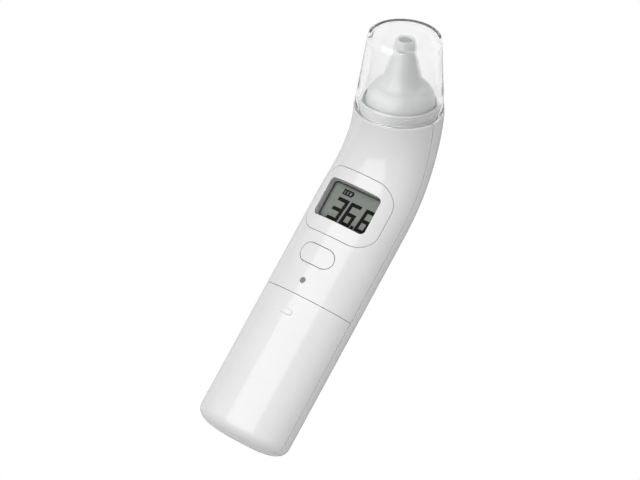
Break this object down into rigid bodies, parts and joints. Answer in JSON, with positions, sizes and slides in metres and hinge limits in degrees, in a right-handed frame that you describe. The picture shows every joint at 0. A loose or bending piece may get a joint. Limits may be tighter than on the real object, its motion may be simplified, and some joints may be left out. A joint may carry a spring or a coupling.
{
  "type": "digital ear thermometer",
  "caption": "Handheld digital ear thermometer with a tilted probe head under a clear cap, a display window, a power button and a sliding battery cover.",
  "frame": {"origin": "middle of the footprint box, on the surface that the back of the handle lies on", "axes": "+Z out of the display face, +Y along the handle to the head, +X to the right of the display"},
  "size_m": [0.04, 0.1664, 0.0531],
  "materials": {
    "white_gloss_plastic": "glossy moulded",
    "clear_plastic": "clear polished",
    "clear_film": "thin clear film",
    "black_foam": "matte foam",
    "lcd_glass": "satin reflective",
    "silver_film": "satin film",
    "grey_plastic": "fine matte",
    "contact_rubber": "matte striped",
    "black_plastic": "fine matte",
    "spring_steel": "drawn wire",
    "seal_rubber": "matte",
    "dark_filter": "polished dark",
    "gold_plate": "polished",
    "plated_steel": "plated",
    "cell_steel": "brushed",
    "pale_plastic": "fine matte",
    "polyimide": "satin film",
    "board_laminate": "solder mask",
    "capacitor_ceramic": "fired",
    "label_film": "satin film"
  },
  "bodies": {
    "thermometer": {"front_cover": "white_gloss_plastic", "rear_cover": "white_gloss_plastic", "display_bezel": "white_gloss_plastic", "display_window": "clear_plastic", "lcd_gasket": "black_foam", "lcd_panel": "lcd_glass", "lcd_reflector": "silver_film", "lcd_holder": "grey_plastic", "zebra_strips": "contact_rubber", "tact_switch_body": "black_plastic", "release_spring": "spring_steel", "probe_cover": "clear_film", "probe_cone": "white_gloss_plastic", "head_collar": "white_gloss_plastic", "collar_seal": "seal_rubber", "probe_window": "dark_filter", "waveguide": "gold_plate", "thermopile_sensor": "plated_steel", "sensor_holder": "pale_plastic", "sensor_flex": "polyimide", "flex_connector": "pale_plastic", "inner_frame": "pale_plastic", "main_circuit_board": "board_laminate", "microcontroller": "black_plastic", "memory_chip": "black_plastic", "amplifier_chip": "black_plastic", "timing_crystal": "plated_steel", "capacitors": "capacitor_ceramic", "resistors": "black_plastic", "buzzer": "black_plastic", "positive_contact": "plated_steel", "negative_contact": "plated_steel", "coin_cell": "cell_steel", "case_screws": "plated_steel", "board_screws": "plated_steel", "rating_label": "label_film"},
    "battery_cover": {"battery_cover": "white_gloss_plastic"},
    "power_button": {"power_button": "white_gloss_plastic"},
    "switch_plunger": {"tact_switch_plunger": "black_plastic"},
    "release_pin": {"release_pin": "grey_plastic"},
    "probe_cap": {"probe_cap": "clear_plastic"}
  },
  "joints": [
    {"name": "cap_pull", "type": "slide", "parent": "thermometer", "child": "probe_cap", "axis": [0, 0.7361, 0.6769], "range_m": [0, 0.045]},
    {"name": "button_press", "type": "slide", "parent": "thermometer", "child": "power_button", "axis": [0, 0, -1], "range_m": [0, 0.0004], "stiffness_N_per_m": 1500, "springref_m": -0.0002},
    {"name": "switch_press", "type": "slide", "parent": "thermometer", "child": "switch_plunger", "axis": [0, 0, -1], "range_m": [0, 0.0004]},
    {"name": "release_press", "type": "slide", "parent": "thermometer", "child": "release_pin", "axis": [0, 0, -1], "range_m": [0, 0.0009], "stiffness_N_per_m": 700, "springref_m": -0.0003, "deforming": ["release_spring"]},
    {"name": "battery_cover_slide", "type": "slide", "parent": "thermometer", "child": "battery_cover", "axis": [0, -1, 0], "range_m": [0, 0.066]}
  ],
  "couplings": [
    {"joint": "switch_press", "follows": "button_press", "ratio": 1}
  ]
}
